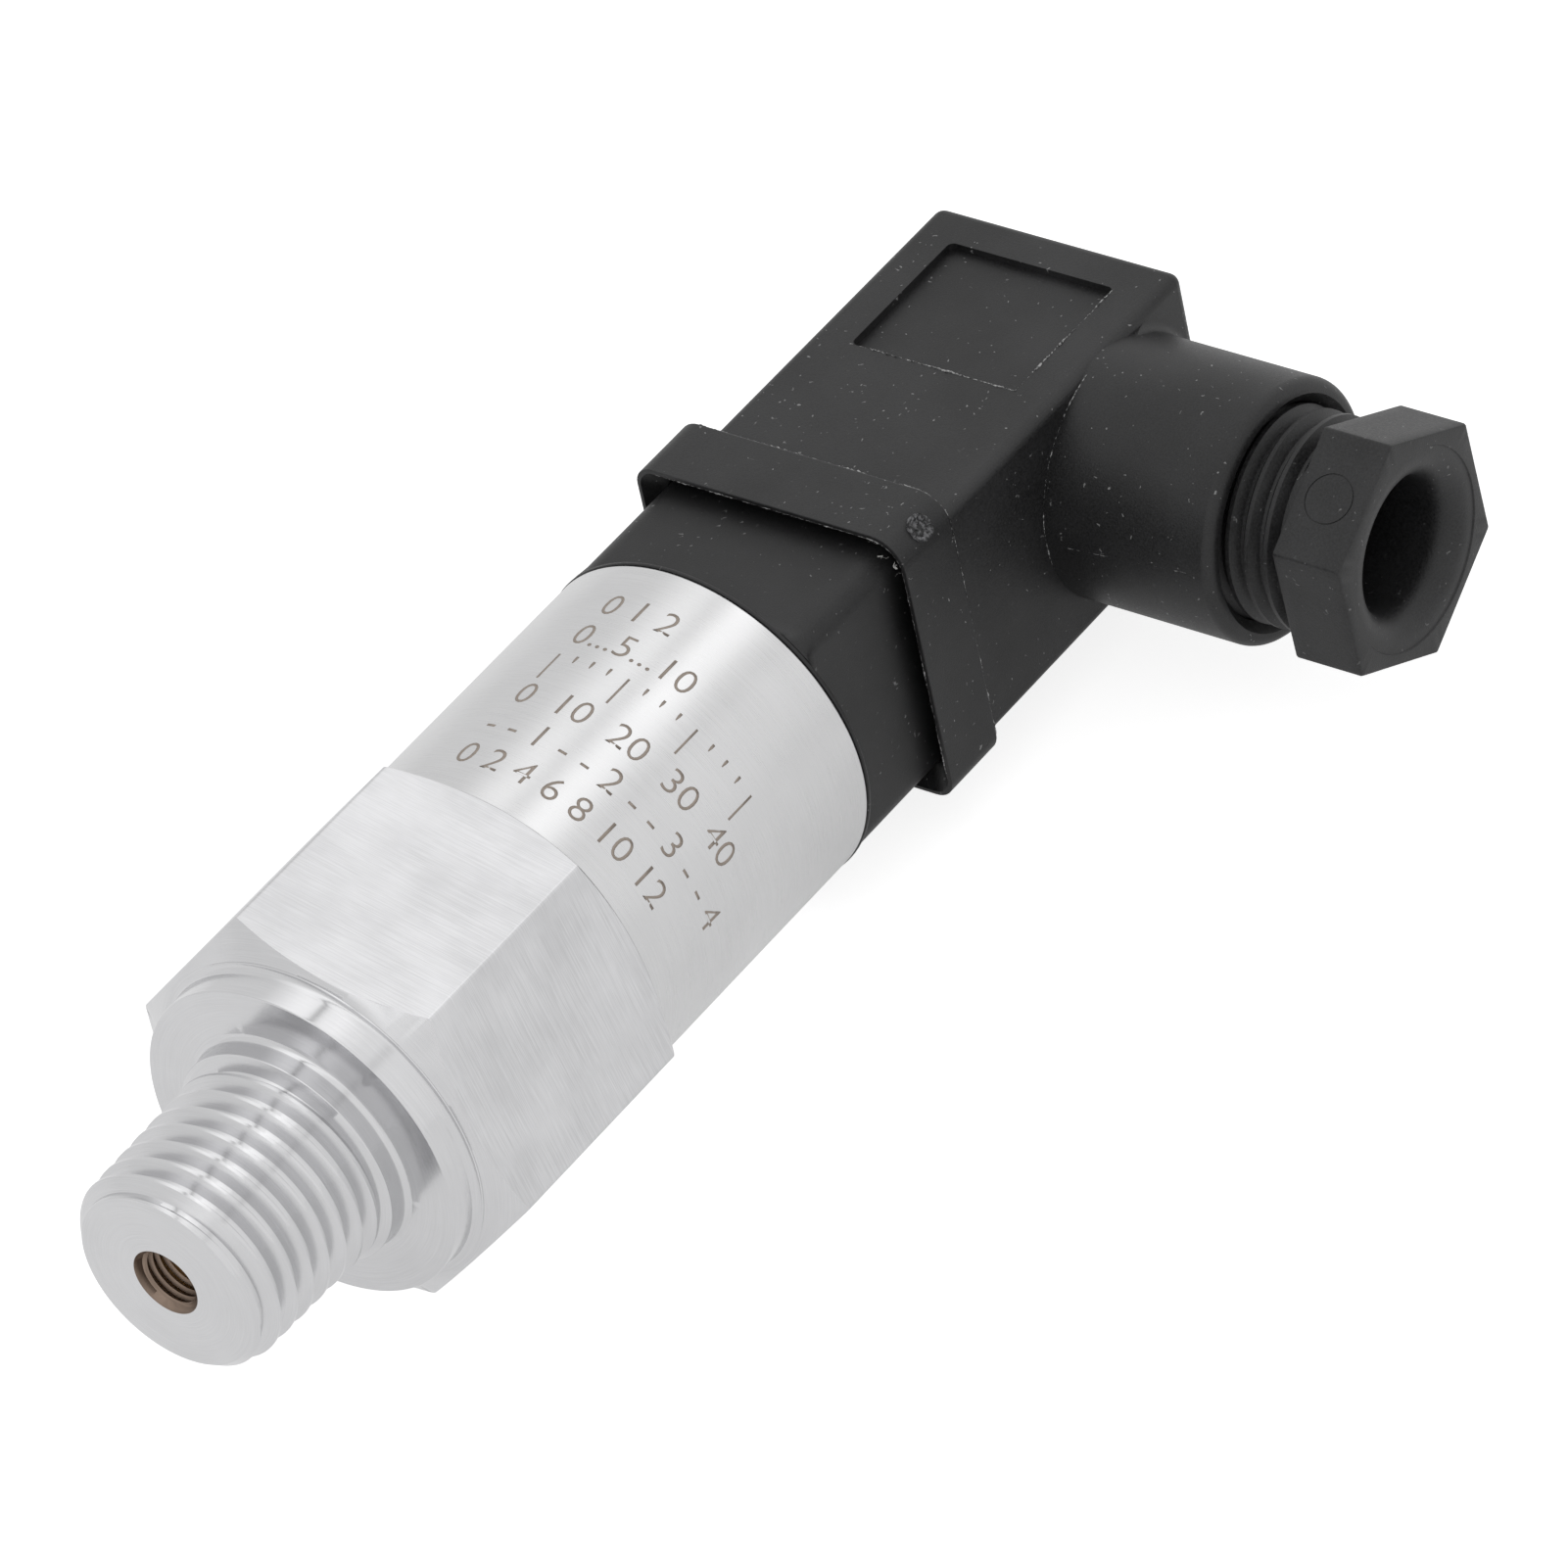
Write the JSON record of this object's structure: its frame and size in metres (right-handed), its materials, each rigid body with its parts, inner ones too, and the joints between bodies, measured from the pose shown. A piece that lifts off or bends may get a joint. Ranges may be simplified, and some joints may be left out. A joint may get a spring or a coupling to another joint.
{
  "type": "pressure transmitter",
  "caption": "Pressure transmitter: steel hexagon body with a threaded stud and pressure port, and a black square right-angle plug with a cable gland.",
  "frame": {"origin": "on the stud's axis, in the gauge plane of its tapered thread, where the mouth of a port sits when the stud is screwed in by hand", "axes": "+Z along the stud's axis from its tip towards the plug, +X along the cable outlet, -Y towards the tower's face with the sunk panel"},
  "size_m": [0.041, 0.0242, 0.0863],
  "materials": {
    "steel": "turned stainless steel, flats brushed across",
    "sleeve_steel": "turned stainless steel tube with fine lathe lines",
    "steel_ring": "turned",
    "screw_steel": "zinc plated",
    "ring_metal": "stamped",
    "brass": "turned brass",
    "contact_brass": "tinned spring brass",
    "pin_metal": "tinned brass",
    "ceramic": "ground white ceramic",
    "rubber": "moulded rubber",
    "gasket_rubber": "flat moulded rubber",
    "holder_plastic": "moulded",
    "insert_plastic": "moulded, glass filled",
    "black_plastic": "glass-filled moulded plastic, matte",
    "board": "green solder mask",
    "chip": "moulded case",
    "capacitor_can": "drawn can",
    "lead_wire": "tinned copper wire"
  },
  "bodies": {
    "base": {"process_fitting": "steel", "throttle_screw": "brass", "cell_seal": "rubber", "sensor_cell": "ceramic", "cell_retainer": "steel_ring", "housing_sleeve": "sleeve_steel", "board_holder": "holder_plastic", "circuit_board": "board", "amplifier_chip": "chip", "filter_capacitors": "capacitor_can", "cell_leads": "lead_wire", "pin_leads": "lead_wire", "plug_base": "black_plastic", "base_seal": "rubber", "threaded_bush": "brass", "contact_pin_1": "pin_metal", "contact_pin_2": "pin_metal", "contact_pin_3": "pin_metal", "earth_pin": "pin_metal", "plug_gasket": "gasket_rubber"},
    "plug": {"plug_housing": "black_plastic", "terminal_insert": "insert_plastic", "spring_contact_1": "contact_brass", "spring_contact_2": "contact_brass", "spring_contact_3": "contact_brass", "earth_contact": "contact_brass", "terminal_screws": "screw_steel", "cable_grommet": "rubber"},
    "gland_ring": {"pressure_ring": "ring_metal"},
    "gland_nut": {"gland_nut": "black_plastic"},
    "screw_washer": {"screw_seal": "rubber"},
    "centre_screw": {"centre_screw": "screw_steel"}
  },
  "joints": [
    {"name": "plug_lift", "type": "slide", "parent": "base", "child": "plug", "axis": [0, 0, 1], "range_m": [0, 0.012]},
    {"name": "gland_advance", "type": "slide", "parent": "plug", "child": "gland_ring", "axis": [1, 0, 0], "range_m": [-0.0019, 0.00254]},
    {"name": "gland_turn", "type": "hinge", "parent": "gland_ring", "child": "gland_nut", "pos_m": [0.02, 0, 0.0723], "axis": [1, 0, 0], "range_deg": [-540, 721]},
    {"name": "screw_rise", "type": "slide", "parent": "plug", "child": "screw_washer", "axis": [0, 0, 1], "range_m": [0, 0.004]},
    {"name": "screw_turn", "type": "hinge", "parent": "screw_washer", "child": "centre_screw", "pos_m": [0, 0, 0.0723], "axis": [0, 0, 1], "range_deg": [0, 2881]}
  ],
  "couplings": [
    {"joint": "gland_turn", "follows": "gland_advance", "rad_per_m": 4947.4},
    {"joint": "screw_turn", "follows": "screw_rise", "rad_per_m": 12566}
  ]
}
